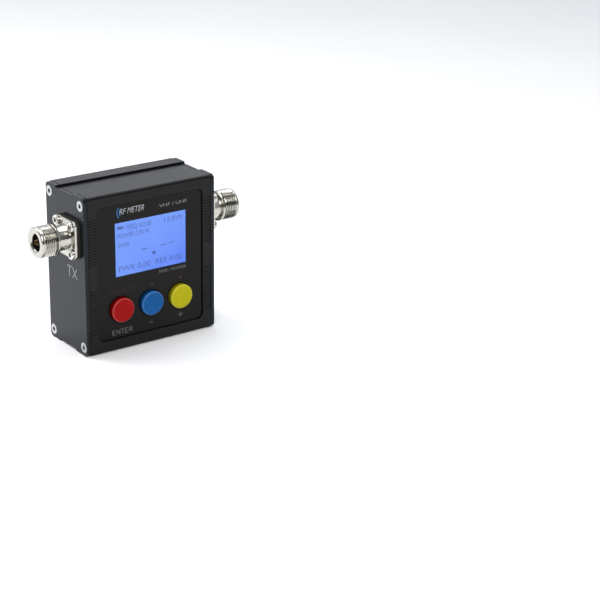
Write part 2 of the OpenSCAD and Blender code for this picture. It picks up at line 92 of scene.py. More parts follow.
class Paint:
    """One procedural material, built node by node around a Principled shader."""

    def __init__(self, name, **constants):
        self.material = bpy.data.materials.new(name)
        self.material.use_nodes = True
        self.tree = self.material.node_tree
        self.tree.nodes.clear()
        self.shader = self.add("ShaderNodeBsdfPrincipled")
        output = self.add("ShaderNodeOutputMaterial")
        self.tree.links.new(self.shader.outputs[0], output.inputs["Surface"])
        self.place = self.add("ShaderNodeTexCoord").outputs["Object"]
        for socket, value in constants.items():
            self.shader.inputs[socket.replace("_", " ")].default_value = value

    def add(self, kind, **settings):
        node = self.tree.nodes.new(kind)
        for name, value in settings.items():
            setattr(node, name, value)
        return node

    def plug(self, socket, source):
        """Fills one socket, with a number, a colour or another node's output."""
        if isinstance(source, bpy.types.NodeSocket):
            self.tree.links.new(source, socket)
        else:
            socket.default_value = source

    def feed(self, node, **sources):
        """Fills sockets by name."""
        for name, source in sources.items():
            self.plug(node.inputs[name.replace("_", " ")], source)

    def scaled(self, size):
        """Object coordinates in which one unit is size millimetres along each axis."""
        node = self.add("ShaderNodeVectorMath", operation="MULTIPLY")
        self.plug(node.inputs[0], self.place)
        self.plug(node.inputs[1], [1 / (s * MM) for s in size])
        return node.outputs[0]

    def noise(self, size, detail=2.0, roughness=0.5):
        """Noise whose spots are about size along X, Y and Z."""
        node = self.add("ShaderNodeTexNoise")
        self.feed(node, Vector=self.scaled(size), Scale=1.0, Detail=detail, Roughness=roughness)
        return node.outputs["Fac"]

    def ranged(self, source, low, high, start=0.3, end=0.7):
        """Goes from low to high as the source goes from start to end."""
        node = self.add("ShaderNodeMapRange")
        self.feed(node, Value=source, From_Min=start, From_Max=end, To_Min=low, To_Max=high)
        return node.outputs["Result"]

    def mixed(self, factor, a, b):
        """Colour a where the factor is 0, and colour b where it is 1."""
        node = self.add("ShaderNodeMix", data_type="RGBA")
        for place, source in zip(MIX_COLOUR_INPUTS, (factor, a, b)):
            self.plug(node.inputs[place], source)
        return node.outputs[MIX_COLOUR_OUTPUT]

    def product(self, a, b):
        node = self.add("ShaderNodeMath", operation="MULTIPLY")
        for socket, source in zip(node.inputs, (a, b)):
            self.plug(socket, source)
        return node.outputs[0]

    def edges(self, radius):
        """1 along the edges of the shape and 0 on its flats."""
        bevel = self.add("ShaderNodeBevel", samples=4)
        bevel.inputs["Radius"].default_value = radius * MM
        geometry = self.add("ShaderNodeNewGeometry")
        dot = self.add("ShaderNodeVectorMath", operation="DOT_PRODUCT")
        self.plug(dot.inputs[0], bevel.outputs[0])
        self.plug(dot.inputs[1], geometry.outputs["True Normal"])
        return self.ranged(dot.outputs["Value"], 1.0, 0.0, start=0.75, end=0.98)

    def hollows(self, reach):
        """1 on open faces, falling towards 0 in grooves narrower than reach."""
        shadow = self.add("ShaderNodeAmbientOcclusion", samples=4)
        shadow.inputs["Distance"].default_value = reach * MM
        return self.ranged(shadow.outputs["AO"], 0.0, 1.0, start=0.15, end=0.75)

    def bump(self, height, strength, depth, under=None):
        """Relief of the given depth, on top of the relief under."""
        node = self.add("ShaderNodeBump")
        self.feed(node, Strength=strength, Distance=depth * MM, Height=height)
        if under is not None:
            self.feed(node, Normal=under)
        return node.outputs["Normal"]

    def finish(self, **sources):
        self.feed(self.shader, **sources)
        return self.material


def shade(colour, factor):
    return (colour[0] * factor, colour[1] * factor, colour[2] * factor, 1.0)


def anodised(name, colour, streak, rough, specular, wear_and_highlight=0.5, tint=(1.0, 1.0, 1.0, 1.0)):
    """Black anodised aluminium: a satin grain, faint marks of streak's size, and paler edges that
    are partly wear and partly a painted highlight.
    """
    paint = Paint(name, IOR=1.5, Specular_IOR_Level=specular, Specular_Tint=tint)
    cloud = paint.noise((14, 14, 14), detail=3.0)
    grain = paint.noise((0.35, 0.35, 0.35), detail=1.0)
    lines = paint.noise(streak)
    base = paint.mixed(cloud, shade(colour, 0.8), shade(colour, 1.25))
    # Paler edges, partly wear and partly a painted highlight on the rounded edges and the lips of
    # the grooves
    base = paint.mixed(paint.product(paint.edges(0.3), wear_and_highlight), base, WORN_AND_HIGHLIT_EDGE)
    relief = paint.bump(lines, strength=0.2, depth=0.008)
    relief = paint.bump(grain, strength=0.25, depth=0.012, under=relief)
    roughness = paint.ranged(cloud, low=rough * 0.9, high=rough * 1.15)
    return paint.finish(Base_Color=base, Roughness=roughness, Normal=relief)


def gloss_panel():
    """Clear-faced black film: nearly black, smooth, with the faintest waves and dust."""
    colour = (0.0066, 0.0068, 0.0056)
    paint = Paint("panel_film", IOR=1.46, Specular_IOR_Level=0.14)
    cloud = paint.noise((22, 22, 22))
    dust = paint.noise((0.5, 0.5, 0.5), detail=3.0, roughness=0.7)
    base = paint.mixed(cloud, shade(colour, 0.8), shade(colour, 1.3))
    relief = paint.bump(cloud, strength=0.1, depth=0.05)
    rough = paint.ranged(dust, low=0.10, high=0.20, start=0.45, end=0.75)
    return paint.finish(Base_Color=base, Roughness=rough, Normal=relief)


def metal(name, colour, rough, stain=0.12):
    """Bare or plated metal with slight clouding, fine working marks and painted shade in its
    grooves.
    """
    paint = Paint(name, Metallic=1.0)
    cloud = paint.noise((3.5, 3.5, 3.5), detail=3.0)
    marks = paint.noise((0.6, 0.6, 0.6))
    base = paint.mixed(cloud, shade(colour, 1 - stain), shade(colour, 1.0))
    # Painted shade: the colour falls to 0.12 of itself in grooves and hollows narrower than 1.2 mm
    base = paint.mixed(paint.hollows(1.2), shade(colour, 0.12), base)
    relief = paint.bump(marks, strength=0.35, depth=0.006)
    roughness = paint.ranged(cloud, low=rough * 0.8, high=rough * 1.3)
    return paint.finish(Base_Color=base, Roughness=roughness, Normal=relief)


def plastic(name, colour, rough):
    """Moulded plastic: a fine textured skin and very slight unevenness in its colour."""
    paint = Paint(name, Specular_IOR_Level=0.4)
    cloud = paint.noise((4, 4, 4))
    skin = paint.noise((0.2, 0.2, 0.2), detail=1.0)
    base = paint.mixed(cloud, shade(colour, 0.97), shade(colour, 1.03))
    relief = paint.bump(skin, strength=0.35, depth=0.004)
    roughness = paint.ranged(cloud, low=rough * 0.85, high=rough * 1.15)
    return paint.finish(Base_Color=base, Roughness=roughness, Normal=relief)


def cap_plastic(name, colour):
    """Dyed plastic, with a painted highlight as a paler ring where the cap's edge turns, and
    painted shade that darkens its side towards the panel.
    """
    paint = Paint(name, Specular_IOR_Level=0.1)
    cloud = paint.noise((5, 5, 5))
    geometry = paint.add("ShaderNodeNewGeometry")
    split = paint.add("ShaderNodeSeparateXYZ")
    paint.plug(split.inputs[0], geometry.outputs["Normal"])
    facing = paint.product(split.outputs["Y"], -1.0)
    turning = paint.ranged(facing, low=1.0, high=0.0, start=0.80, end=0.98)
    # Painted highlight: a paler ring on the cap's rounded edge, where the surface turns away from
    # facing front
    rim_highlight = paint.product(turning, paint.ranged(facing, low=0.0, high=0.55, start=0.35, end=0.70))
    # Painted shade: the cap's side darkens towards the panel
    skirt_shade = paint.ranged(facing, low=0.75, high=0.0, start=0.10, end=0.50)
    # The paler colour of the painted highlight
    pale = [1.25 * c + 0.10 for c in colour] + [1.0]
    base = paint.mixed(cloud, shade(colour, 0.96), shade(colour, 1.04))
    base = paint.mixed(rim_highlight, base, pale)
    base = paint.mixed(skirt_shade, base, shade(colour, 0.3))
    return paint.finish(Base_Color=base, Roughness=paint.ranged(cloud, low=0.24, high=0.30))


def ink(name, colour):
    """Screen-printed ink with a slightly uneven cover."""
    paint = Paint(name, Specular_IOR_Level=0.3)
    cover = paint.noise((0.25, 0.25, 0.25))
    base = paint.mixed(cover, shade(colour, 0.8), shade(colour, 1.1))
    return paint.finish(Base_Color=base, Roughness=paint.ranged(cover, low=0.5, high=0.65))


def clear_window():
    """Clear, very faintly hazed acrylic."""
    paint = Paint("window_acrylic", IOR=1.3, Transmission_Weight=1.0, Specular_IOR_Level=0.2)
    haze = paint.noise((6, 6, 6))
    base = paint.mixed(haze, (0.93, 0.96, 1.0, 1), (0.97, 0.98, 1.0, 1))
    return paint.finish(Base_Color=base, Roughness=paint.ranged(haze, low=0.0, high=0.03))


def lit_display():
    """The backlit display: pale blue, deeper towards the lower right, with faint paler clouds."""
    paint = Paint("display_glow", Roughness=0.35, Specular_IOR_Level=0.2)
    low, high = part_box("display_window")
    split = paint.add("ShaderNodeSeparateXYZ")
    paint.plug(split.inputs[0], paint.place)
    across = paint.ranged(split.outputs["X"], low=0.0, high=1.0, start=low.x, end=high.x)
    down = paint.ranged(split.outputs["Z"], low=1.0, high=0.0, start=low.z, end=high.z)
    corner = paint.product(across, down)
    cloud = paint.ranged(paint.noise((16, 16, 16)), low=0.0, high=0.25)
    glow = paint.mixed(corner, (0.165, 0.34, 1.0, 1), (0.07, 0.19, 0.93, 1))
    glow = paint.mixed(cloud, glow, (0.22, 0.40, 1.0, 1))
    unlit = (0.02, 0.05, 0.2, 1)
    return paint.finish(Base_Color=unlit, Emission_Color=glow, Emission_Strength=0.8)


def display_ink():
    """Dark liquid-crystal segments over the blue light."""
    paint = Paint("display_segments", Roughness=0.4, Specular_IOR_Level=0.2)
    cloud = paint.noise((2, 2, 2))
    glow = paint.mixed(cloud, (0.025, 0.07, 0.36, 1), (0.035, 0.09, 0.42, 1))
    unlit = (0.02, 0.04, 0.15, 1)
    return paint.finish(Base_Color=unlit, Emission_Color=glow, Emission_Strength=0.9)


def circuit_board():
    """Green solder mask over fine copper tracks."""
    paint = Paint("board_mask", Roughness=0.35)
    tracks = paint.add("ShaderNodeTexBrick", offset=0.35)
    paint.feed(tracks, Vector=paint.scaled((9, 9, 9)), Scale=3.0, Mortar_Size=0.05)
    base = paint.mixed(tracks.outputs["Fac"], (0.01, 0.10, 0.045, 1), (0.02, 0.2, 0.08, 1))
    relief = paint.bump(tracks.outputs["Fac"], strength=0.4, depth=0.03)
    return paint.finish(Base_Color=base, Normal=relief)


# The paler colour of the edges, partly wear and partly a painted highlight
WORN_AND_HIGHLIT_EDGE = (0.11, 0.112, 0.12, 1.0)
SHELL_BLACK, PLATE_BLACK = (0.0056, 0.0058, 0.0053), (0.0078, 0.008, 0.0082)
SPACER_BLACK = (0.022, 0.021, 0.019)
PLATE_TINT = (0.70, 0.82, 1.0, 1.0)
# Long marks along X, as an extrusion has, and marks that are the same in every direction
LONG_STREAK, EVEN_STREAK = (40, 0.25, 0.25), (0.3, 0.3, 0.3)
SHELL_METAL = anodised(
    "anodised_shell", SHELL_BLACK, LONG_STREAK, rough=0.26, specular=0.19, wear_and_highlight=0.1
)
PLATE_METAL = anodised(
    "anodised_plate", PLATE_BLACK, EVEN_STREAK, rough=0.2, specular=0.22, tint=PLATE_TINT
)
SPACER_METAL = anodised("anodised_spacer", SPACER_BLACK, EVEN_STREAK, rough=0.25, specular=0.3)
PANEL_FILM = gloss_panel()
# Name and colour, then roughness for metals and plain plastics
NICKEL = metal("nickel_plate", (0.58, 0.565, 0.51), 0.16, stain=0.2)
PLATED_SCREW = metal("plated_screw", (0.72, 0.71, 0.68), 0.24)
STEEL_SCREW = metal("steel_screw", (0.56, 0.57, 0.58), 0.32)
SHEET_STEEL = metal("tinned_sheet", (0.70, 0.71, 0.72), 0.3)
BRASS = metal("brass", (0.80, 0.58, 0.26), 0.25)
GOLD = metal("gold_plate", (0.60, 0.42, 0.20), 0.35)
INSULATOR = plastic("insulator", (0.07, 0.04, 0.022), 0.45)
RED = cap_plastic("button_red", (0.29, 0.0015, 0.0015))
BLUE = cap_plastic("button_blue", (0.005, 0.085, 0.27))
YELLOW = cap_plastic("button_yellow", (0.42, 0.385, 0.003))
BLACK_PLASTIC = plastic("black_plastic", (0.02, 0.02, 0.021), 0.45)
WHITE_PLASTIC = plastic("white_plastic", (0.80, 0.80, 0.77), 0.4)
FOIL = plastic("cell_foil", (0.45, 0.47, 0.50), 0.35)
LEAD = plastic("lead_skin", (0.30, 0.02, 0.02), 0.4)
BOARD = circuit_board()
WINDOW = clear_window()
DISPLAY = lit_display()
SEGMENTS = display_ink()
PALE_INK = ink("pale_ink", (0.20, 0.205, 0.21))
WHITE_INK = ink("white_ink", (0.36, 0.37, 0.39))
GREY_INK = ink("grey_ink", (0.13, 0.13, 0.125))
BLUE_INK = ink("blue_ink", (0.05, 0.20, 0.50))
RED_INK = ink("dim_red_ink", (0.03, 0.006, 0.006))

# ---- Making pieces ----


def add_piece(name, mesh, material, body, slot, *nodes):
    """Puts a finished mesh in the scene, on its body, in place of the CAD nodes it stands for."""
    mesh.materials.clear()
    mesh.materials.append(material)
    piece = bpy.data.objects.new(name, mesh)
    SCENE.collection.objects.link(piece)
    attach(piece, body)
    if nodes:
        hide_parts(*nodes)
    return piece


def mesh_from(shape, name, smooth_below):
    """A mesh from a bmesh, shaded smooth except across edges sharper than smooth_below degrees."""
    mesh = bpy.data.meshes.new(name)
    for face in shape.faces:
        face.smooth = True
    shape.to_mesh(mesh)
    shape.free()
    normals = mesh.attributes.get("custom_normal")
    if normals is not None:
        mesh.attributes.remove(normals)
    mesh.set_sharp_from_angle(angle=math.radians(smooth_below))
    return mesh


# Faces this nearly level are one face, and edges this sharp are rounded
FLAT_ANGLE, SHARP_ANGLE = math.radians(0.3), math.radians(40)
# Points nearer than this are one point, in metres
WELD, INK_WELD = 2e-6, 1e-7


def softened(node, name, material, width, slot, keep=lambda point: True):
    """Adds a piece in the CAD node's own shape, with the edges that keep allows rounded."""
    shape = bmesh.new()
    shape.from_mesh(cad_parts[node].data)
    bmesh.ops.remove_doubles(shape, verts=shape.verts, dist=WELD)
    bmesh.ops.dissolve_limit(shape, angle_limit=FLAT_ANGLE, verts=shape.verts, edges=shape.edges)
    corners = [
        edge for edge in shape.edges
        if len(edge.link_faces) == 2 and edge.calc_face_angle() > SHARP_ANGLE
        and keep((edge.verts[0].co + edge.verts[1].co) / 2)
    ]
    bmesh.ops.bevel(
        shape, geom=corners, offset=width * MM, segments=2, profile=0.5,
        affect="EDGES", clamp_overlap=False,
    )
    mesh = mesh_from(shape, name, smooth_below=38)
    piece = add_piece(name, mesh, material, "case", slot, node)
    weighted = piece.modifiers.new("flat_faces", "WEIGHTED_NORMAL")
    weighted.keep_sharp = True


def dress(node, material):
    """Gives a CAD node that stays as it is its material."""
    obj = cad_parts[node]
    obj.data.materials.clear()
    obj.data.materials.append(material)


# ---- Case ----

# How far the edges of each kind of piece are rounded
SHELL_EDGE, PLATE_EDGE, FILM_EDGE, SMALL_EDGE = 0.12, 0.22, 0.06, 0.1
# Edges nearer than this to the middle of a countersink or a flange stay as they are
COUNTERSINK_CLEAR, FLANGE_CLEAR = 3.3, 12
COUNTERSINK_R = 2.7
screws_low, screws_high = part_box("left_plate_screws")
PLATE_SCREWS = [
    (y, z)
    for y in (screws_low.y + COUNTERSINK_R * MM, screws_high.y - COUNTERSINK_R * MM)
    for z in (screws_low.z + COUNTERSINK_R * MM, screws_high.z - COUNTERSINK_R * MM)
]


def away_from_screws(point):
    """True for a point of an end plate that isn't beside one of its countersinks."""
    clear = COUNTERSINK_CLEAR * MM
    return all(math.hypot(point.y - y, point.z - z) > clear for y, z in PLATE_SCREWS)


def away_from_flange(point):
    """True for a point of an end plate that isn't beside a countersink or the socket."""
    reach = math.hypot(point.y - SOCKET_AXIS.y, point.z - SOCKET_AXIS.z)
    return away_from_screws(point) and reach >= FLANGE_CLEAR * MM


def make_case():
    for end in ("front", "rear"):
        softened(end + "_shell", end + "_shell_body", SHELL_METAL, SHELL_EDGE, "case")
    for end in ("left", "right"):
        node, name = end + "_end_plate", end + "_plate_body"
        softened(node, name, PLATE_METAL, PLATE_EDGE, "case", keep=away_from_flange)
    softened("front_overlay", "overlay_film", PANEL_FILM, FILM_EDGE, "overlay")


# ---- Sockets ----

# U runs outward along the socket's axis from the seat of its flange
FLANGE_HALF, FLANGE_T, FLANGE_CORNER, FLANGE_SOFT = 9.7, 1.2, 2.2, 0.15
NECK_R, BARREL_R, REAR_R = 6.4, 7.9375, 5.9
REAR_U = -6.4
BARREL_U, COLLAR_END_U, THREAD_U, THREAD_END_U, REACH = 7.7, 9.0, 9.5, 16.4, 17.9
# A fillet or round is its size, then the offset of the row in its middle
NECK_FILLET, NECK_FILLET_MIDDLE, NECK_CORNER = 0.5, 0.15, 0.2
COLLAR_ROUND, COLLAR_ROUND_MIDDLE, COLLAR_CHAMFER = 0.35, 0.1, 0.1
LIP_ROUND, LIP_LAND, LIP_STEPS = 0.8, 0.1, 5
MOUTH_R, MOUTH_CHAMFER, MOUTH_FLOOR_U = 4.27, 0.8, 8.9
MOUTH_EDGE_R, MOUTH_EDGE_U = 0.15, 0.06
INSULATOR_R, INSULATOR_STEP = 3.2, 1.5
THREAD_PITCH = 25.4 / 24
THREAD_DEPTH = 0.65
THREAD_CREST = 0.12
THREAD_FADE_IN, THREAD_FADE_OUT = 0.3, 0.8
# The first rows of the thread rise from below the crests
LEAD_DEPTH, LEAD_ROWS = 0.35, 3
UNDERCUT_DEPTH = 0.9
ROWS_PER_PITCH = 10
RING_STEPS = 144
CORNER_STEPS, CORNER_DEGREES = 5, 0.8


def square_radius(angle, half, corner):
    """Distance from the middle of a square with rounded corners to its outline."""
    turn = abs((angle + math.pi / 4) % (math.pi / 2) - math.pi / 4)
    if half * math.tan(turn) <= half - corner:
        return half / math.cos(turn)
    inner = half - corner
    along = inner * (math.cos(turn) + math.sin(turn))
    return along + math.sqrt(max(along ** 2 - 2 * inner ** 2 + corner ** 2, 0))


def thread_radius(u, angle):
    """Radius of the threaded barrel, whose valleys fade out at both ends."""
    phase = (u / THREAD_PITCH - angle / (2 * math.pi)) % 1
    valley = max(0, (1 + THREAD_CREST) * (1 - abs(2 * phase - 1)) - THREAD_CREST)
    fade = min(1, (u - THREAD_U) / THREAD_FADE_IN, (THREAD_END_U - u) / THREAD_FADE_OUT)
    return BARREL_R - THREAD_DEPTH * valley * max(0, fade)


def thread_rows():
    """The rows of the thread, each with a radius that turns with the angle."""
    rows = []
    count = round((THREAD_END_U - THREAD_U) / THREAD_PITCH * ROWS_PER_PITCH)
    for i in range(count + 1):
        u = THREAD_U + (THREAD_END_U - THREAD_U) * i / count
        top = BARREL_R - LEAD_DEPTH * max(0, 1 - i / LEAD_ROWS)
        rows.append((u, lambda angle, u=u, top=top: min(top, thread_radius(u, angle))))
    return rows


def socket_rows():
    """The socket's section as (u, radius) rows; a radius may depend on the angle."""

    def flange(inset):
        return lambda angle: square_radius(angle, FLANGE_HALF - inset, FLANGE_CORNER)

    soft, face, collar = FLANGE_SOFT, FLANGE_T, BARREL_R
    rows = [
        (REAR_U, REAR_R), (0, REAR_R),
        (0, flange(soft)), (soft, flange(0)),
        (face - soft, flange(0)), (face - soft * 0.3, flange(soft * 0.3)), (face, flange(soft)),
        (face, NECK_R + NECK_FILLET),
        (face + NECK_FILLET_MIDDLE, NECK_R + NECK_FILLET_MIDDLE),
        (face + NECK_FILLET, NECK_R),
        (BARREL_U - NECK_CORNER, NECK_R), (BARREL_U, NECK_R + NECK_CORNER),
        (BARREL_U, collar - COLLAR_ROUND),
        (BARREL_U + COLLAR_ROUND_MIDDLE, collar - COLLAR_ROUND_MIDDLE),
        (BARREL_U + COLLAR_ROUND, collar),
        (COLLAR_END_U - COLLAR_CHAMFER, collar), (COLLAR_END_U, collar - COLLAR_CHAMFER),
        (COLLAR_END_U, collar - UNDERCUT_DEPTH), (THREAD_U, collar - UNDERCUT_DEPTH),
    ]
    rows += thread_rows()
    lip_u, lip_r = REACH - LIP_ROUND, BARREL_R - LIP_ROUND
    rows.append((lip_u - LIP_LAND, BARREL_R))
    for i in range(LIP_STEPS + 1):
        turn = math.pi / 2 * i / LIP_STEPS
        rows.append((lip_u + LIP_ROUND * math.sin(turn), lip_r + LIP_ROUND * math.cos(turn)))
    rows += [
        (REACH, MOUTH_R + MOUTH_CHAMFER + MOUTH_EDGE_R),
        (REACH - MOUTH_EDGE_U, MOUTH_R + MOUTH_CHAMFER),
        (REACH - MOUTH_CHAMFER, MOUTH_R),
        (MOUTH_FLOOR_U - INSULATOR_STEP, MOUTH_R),
        (MOUTH_FLOOR_U - INSULATOR_STEP, INSULATOR_R),
        (REAR_U, INSULATOR_R),
    ]
    return rows


def socket_angles():
    """Even steps round the axis, finer where the flange's corners are."""
    even = [math.radians(360 / RING_STEPS * i) for i in range(RING_STEPS)]
    sides = [i for i in range(-CORNER_STEPS, CORNER_STEPS + 1) if i]
    corners = (45, 135, 225, 315)
    fine = [math.radians(corner + CORNER_DEGREES * i) for corner in corners for i in sides]
    return sorted(even + fine)


def swept_rings(rows, angles, matrix):
    """A closed surface through a ring for each row, and from the last row back to the first."""
    shape = bmesh.new()
    rings = []
    for u, radius in rows:
        ring = []
        for angle in angles:
            r = radius(angle) if callable(radius) else radius
            point = Vector((r * math.cos(angle), r * math.sin(angle), u)) * MM
            ring.append(shape.verts.new(matrix @ point))
        rings.append(ring)
    for a, b in zip(rings, rings[1:] + rings[:1]):
        for i in range(len(angles)):
            j = (i + 1) % len(angles)
            shape.faces.new((a[i], a[j], b[j], b[i]))
    bmesh.ops.recalc_face_normals(shape, faces=shape.faces)
    return shape


def socket_matrix(seat_x, out):
    """Carries a socket, drawn along +Z from its seat, to one end of the case."""
    origin = Vector((seat_x, SOCKET_AXIS.y, SOCKET_AXIS.z))
    axis = Vector((out, 0, 0))
    return axes_matrix(origin, UP.cross(axis), UP, axis)


def make_sockets():
    seats = {"tx": (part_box("tx_spacer")[0].x, -1), "ant": (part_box("ant_spacer")[1].x, 1)}
    for end, (seat_x, out) in seats.items():
        shape = swept_rings(socket_rows(), socket_angles(), socket_matrix(seat_x, out))
        name = end + "_socket_shell"
        mesh = mesh_from(shape, name, smooth_below=32)
        add_piece(name, mesh, NICKEL, "case", "nickel", end + "_socket_body")
        dress(end + "_insulator", INSULATOR)
        dress(end + "_contact", GOLD)
        heads, plate = end + "_screw_heads", end + "_spacer_plate"
        softened(end + "_flange_screws", heads, PLATED_SCREW, SMALL_EDGE, "nickel")
        softened(end + "_spacer", plate, SPACER_METAL, SMALL_EDGE, "case")


# ---- Prints ----

# Height of a capital in the font's own size, and width of a stroked letter in its pitch
CAP_SHARE, LETTER_SHARE = 0.70, 0.85
INK_T = 0.03
FINE_PEN, TX_PEN = 0.34, 0.55
ARC_STEPS = 16

# Prints, with X from the middle of the face they are on and Y up from the foot of the case.
# Words are their text, X, Y and height of capitals; bars are X, Y, width and height.
BAND_WORDS, BAND_WIDTH = ("VHF / UHF", 13.9, 71.7, 1.7), 16.4
NAME_WORDS, NAME_WIDTH, NAME_LEAN = ("RF METER", -10.2, 72.7, 3.0), 14.2, 0.3
WAVE_MIDDLE, WAVE_RADII, WAVE_DEGREES = (-15.0, 72.3), (2.4, 3.7), (135, 225)
ENTER_CORNER, ENTER_PITCH, ENTER_HEIGHT = (-22.6, 8.3), 2.42, 2.5
SIGN_BARS = ((0.2, 10.6, 2.0, FINE_PEN), (17.6, 11.1, 2.8, FINE_PEN), (17.6, 11.1, FINE_PEN, 2.8))
READING_WORDS, READING_WIDTH = ("SWR / POWER", 13.2, 36.8, 1.7), 16.3
SETTING_WORDS, SETTING_WIDTH = ("MODE SET", -15.6, 31.3, 1.6), 15
LAMP_BARS = ((0.9, 31.3, 1.5, 1.5), (18.0, 31.2, 1.5, 1.5))
ANT_WORDS, ANT_THIN = ("ANT", 0, 41.7, 5.4), 0.1


def text_shape(shape, words, x, y, height, matrix, width=None, thin=0.0, lean=0.0):
    """Adds words to a shape, centred on (x, y) of a face, with capitals height tall.

    They are stretched to the width when there is one; thin narrows the strokes, lean slants them.
    """
    curve = bpy.data.curves.new("words", "FONT")
    curve.body = words
    curve.size = height / CAP_SHARE
    curve.offset = -thin
    curve.shear = lean
    curve.extrude = INK_T / 2
    curve.resolution_u = 4
    holder = bpy.data.objects.new("words", curve)
    mesh = bpy.data.meshes.new_from_object(holder)
    xs = [v.co.x for v in mesh.vertices]
    ys = [v.co.y for v in mesh.vertices]
    stretch = width / (max(xs) - min(xs)) if width else 1
    centre = Vector(((max(xs) + min(xs)) / 2, (max(ys) + min(ys)) / 2, 0))
    scaling = Matrix.Diagonal((stretch * MM, MM, MM, 1))
    place = Matrix.Translation(Vector((x, y, 0)) * MM) @ scaling
    mesh.transform(matrix @ place @ Matrix.Translation(-centre))
    shape.from_mesh(mesh)
    bpy.data.objects.remove(holder)
    bpy.data.curves.remove(curve)
    bpy.data.meshes.remove(mesh)


def patch(shape, outline, matrix):
    """Adds a thin flat patch with the given outline on a face."""
    back = [shape.verts.new(matrix @ (Vector((x, y, -INK_T / 2)) * MM)) for x, y in outline]
    front = [shape.verts.new(matrix @ (Vector((x, y, INK_T / 2)) * MM)) for x, y in outline]
    shape.faces.new(front)
    shape.faces.new(back[::-1])
    for i in range(len(outline)):
        j = (i + 1) % len(outline)
        shape.faces.new((back[i], back[j], front[j], front[i]))


def bar(shape, x, y, width, height, matrix):
    """Adds a rectangle whose middle is (x, y)."""
    corners = [(-1, -1), (1, -1), (1, 1), (-1, 1)]
    patch(shape, [(x + a * width / 2, y + b * height / 2) for a, b in corners], matrix)


def stroke(shape, x0, y0, x1, y1, width, matrix):
    """Adds a straight pen stroke from one point to another."""
    length = math.hypot(x1 - x0, y1 - y0)
    dx, dy = (y0 - y1) / length * width / 2, (x1 - x0) / length * width / 2
    near = [(x0 - dx, y0 - dy), (x1 - dx, y1 - dy)]
    far = [(x1 + dx, y1 + dy), (x0 + dx, y0 + dy)]
    patch(shape, near + far, matrix)


# The mark TX as pen strokes on the end plate
TX_STROKES = (
    (1.0, 44.4, 5.4, 44.4), (3.2, 44.4, 3.2, 39.0),
    (6.3, 44.6, 10.6, 39.0), (6.3, 39.0, 10.6, 44.6),
)
# Letters as pen strokes in a box one unit wide and one unit tall
LETTER_E = ((0, 0, 0, 1), (0, 1, 0.75, 1), (0, 0.5, 0.65, 0.5), (0, 0, 0.75, 0))
LETTER_N = ((0, 0, 0, 1), (0, 1, 0.85, 0), (0.85, 0, 0.85, 1))
LETTER_T = ((0, 1, 0.9, 1), (0.45, 0, 0.45, 1))
LETTER_R = (
    (0, 0, 0, 1), (0, 1, 0.7, 1), (0.7, 1, 0.8, 0.55), (0.8, 0.55, 0, 0.45), (0.35, 0.47, 0.85, 0),
)


def lettering(shape, letters, corner, pitch, height, pen, matrix):
    """Adds letters drawn as strokes, rightwards from a corner, one for each pitch."""
    x, y = corner
    wide = pitch * LETTER_SHARE
    for i, letter in enumerate(letters):
        left = x + i * pitch
        for x0, y0, x1, y1 in letter:
            start = (left + x0 * wide, y + y0 * height)
            end = (left + x1 * wide, y + y1 * height)
            stroke(shape, *start, *end, pen, matrix)


def arc(shape, middle_point, radius, pen, degrees, matrix):
    """Adds part of a ring, from the first to the second of two angles in degrees."""
    x, y = middle_point
    start, end = degrees
    turns = [start + (end - start) * i / ARC_STEPS for i in range(ARC_STEPS + 1)]
    angles = [math.radians(turn) for turn in turns]
    outside, inside = radius + pen / 2, radius - pen / 2
    outer = [(x + outside * math.cos(a), y + outside * math.sin(a)) for a in angles]
    inner = [(x + inside * math.cos(a), y + inside * math.sin(a)) for a in angles]
    patch(shape, outer + inner[::-1], matrix)


def ink_piece(name, shape, material, slot):
    """Puts finished words and marks in the scene as one piece."""
    bmesh.ops.remove_doubles(shape, verts=shape.verts, dist=INK_WELD)
    bmesh.ops.recalc_face_normals(shape, faces=shape.faces)
    add_piece(name, mesh_from(shape, name, smooth_below=30), material, "case", slot)


def make_prints():
    pale = bmesh.new()
    text_shape(pale, *BAND_WORDS, PANEL, width=BAND_WIDTH)
    ink_piece("panel_pale_print", pale, PALE_INK, "overlay")
    white = bmesh.new()
    text_shape(white, *NAME_WORDS, PANEL, width=NAME_WIDTH, lean=NAME_LEAN)
    ink_piece("panel_white_print", white, WHITE_INK, "overlay")
    blue = bmesh.new()
    for radius in WAVE_RADII:
        arc(blue, WAVE_MIDDLE, radius, FINE_PEN, WAVE_DEGREES, PANEL)
    ink_piece("panel_blue_print", blue, BLUE_INK, "overlay")
    grey = bmesh.new()
    enter = (LETTER_E, LETTER_N, LETTER_T, LETTER_E, LETTER_R)
    lettering(grey, enter, ENTER_CORNER, ENTER_PITCH, ENTER_HEIGHT, FINE_PEN, PANEL)
    for sign in SIGN_BARS:
        bar(grey, *sign, PANEL)
    text_shape(grey, *READING_WORDS, PANEL, width=READING_WIDTH)
    ink_piece("panel_grey_print", grey, GREY_INK, "overlay")
    red = bmesh.new()
    text_shape(red, *SETTING_WORDS, PANEL, width=SETTING_WIDTH)
    for lamp in LAMP_BARS:
        bar(red, *lamp, PANEL)
    ink_piece("panel_red_print", red, RED_INK, "overlay")
    tx = bmesh.new()
    for ends in TX_STROKES:
        stroke(tx, *ends, TX_PEN, LEFT_PLATE)
    ink_piece("tx_mark", tx, WHITE_INK, "case")
    ant = bmesh.new()
    text_shape(ant, *ANT_WORDS, RIGHT_PLATE, thin=ANT_THIN)
    ink_piece("ant_mark", ant, WHITE_INK, "case")


# ---- Display ----


